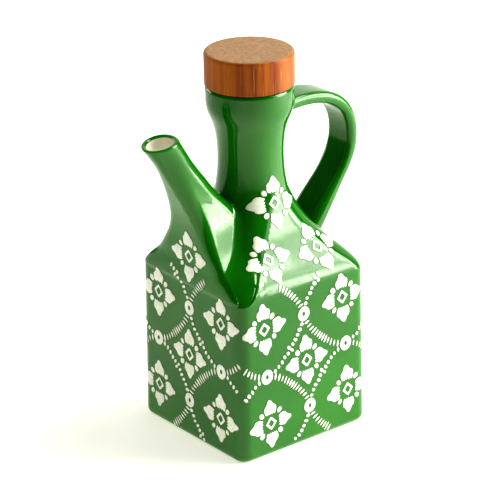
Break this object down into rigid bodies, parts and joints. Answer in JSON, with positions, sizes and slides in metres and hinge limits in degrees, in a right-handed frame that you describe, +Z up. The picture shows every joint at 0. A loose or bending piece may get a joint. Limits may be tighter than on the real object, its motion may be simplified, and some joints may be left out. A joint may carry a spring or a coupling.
{
  "type": "oil cruet",
  "caption": "Square glazed ceramic oil cruet with a round neck, a tall slanting spout, a strap handle and a turned wooden lid.",
  "frame": {"origin": "the middle of the square foot, on the surface it stands on", "axes": "+Z up along the neck, -X towards the spout, +X towards the handle, +Y to one side wall"},
  "size_m": [0.1407, 0.0912, 0.2166],
  "materials": {
    "green_glaze": "glossy transparent green glaze over fired clay",
    "lid_wood": "oiled hardwood, satin",
    "white_slip": "white slip trailed in low relief under the gloss"
  },
  "bodies": {
    "root": {"cruet": "green_glaze", "lid": "lid_wood"}
  },
  "joints": []
}
